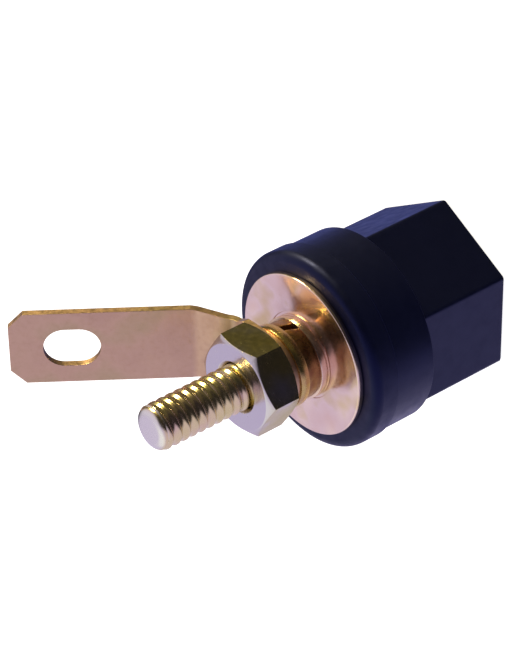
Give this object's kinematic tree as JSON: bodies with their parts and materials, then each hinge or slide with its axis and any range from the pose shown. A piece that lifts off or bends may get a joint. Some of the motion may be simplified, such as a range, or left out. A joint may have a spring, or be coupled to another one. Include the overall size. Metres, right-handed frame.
{
  "type": "binding post",
  "caption": "Insulated binding post: hexagonal screw-down clamp knob with a plug socket at the front, threaded stud with nut and bent solder lug at the back.",
  "frame": {"origin": "on the stud's axis, in the face of the metal disc that bears on the panel", "axes": "+Z out along the stud; +X towards the side that the solder lug points to; the knob lies on the -Z side and its flat end is down"},
  "size_m": [0.0311, 0.0212, 0.0408],
  "materials": {
    "plated_brass": "bright yellow plating over turned brass",
    "plated_disc": "bright pinkish-gold plating, polished",
    "lug_bronze": "satin pinkish bronze strip",
    "black_plastic": "black moulding with a soft sheen"
  },
  "bodies": {
    "post_body": {"post": "plated_brass", "insulating_base": "black_plastic", "seat_disc": "plated_disc"},
    "washer_stack": {"flat_washer_lower": "plated_disc", "spring_washer": "plated_brass", "flat_washer_upper": "plated_disc"},
    "lug": {"solder_lug": "lug_bronze"},
    "nut": {"hex_nut": "plated_brass"},
    "clamp": {"clamp_washer": "plated_brass"},
    "knob_body": {"knob": "black_plastic", "knob_insert": "plated_brass"}
  },
  "joints": [
    {"name": "knob_travel", "type": "slide", "parent": "post_body", "child": "clamp", "axis": [0, 0, -1], "range_m": [0, 0.00594]},
    {"name": "knob_turn", "type": "hinge", "parent": "clamp", "child": "knob_body", "pos_m": [0, 0, -0.01], "axis": [0, 0, -1], "range_deg": [0, 2021]},
    {"name": "nut_travel", "type": "slide", "parent": "post_body", "child": "washer_stack", "axis": [0, 0, 1], "range_m": [0, 0.01]},
    {"name": "nut_turn", "type": "hinge", "parent": "washer_stack", "child": "nut", "pos_m": [0, 0, 0.006], "axis": [0, 0, 1], "range_deg": [0, 3402]},
    {"name": "lug_swivel", "type": "hinge", "parent": "washer_stack", "child": "lug", "pos_m": [0, 0, 0.003], "axis": [0, 0, 1], "continuous": true}
  ],
  "couplings": [
    {"joint": "knob_turn", "follows": "knob_travel", "rad_per_m": 5936.8},
    {"joint": "nut_turn", "follows": "nut_travel", "rad_per_m": 5936.8}
  ]
}
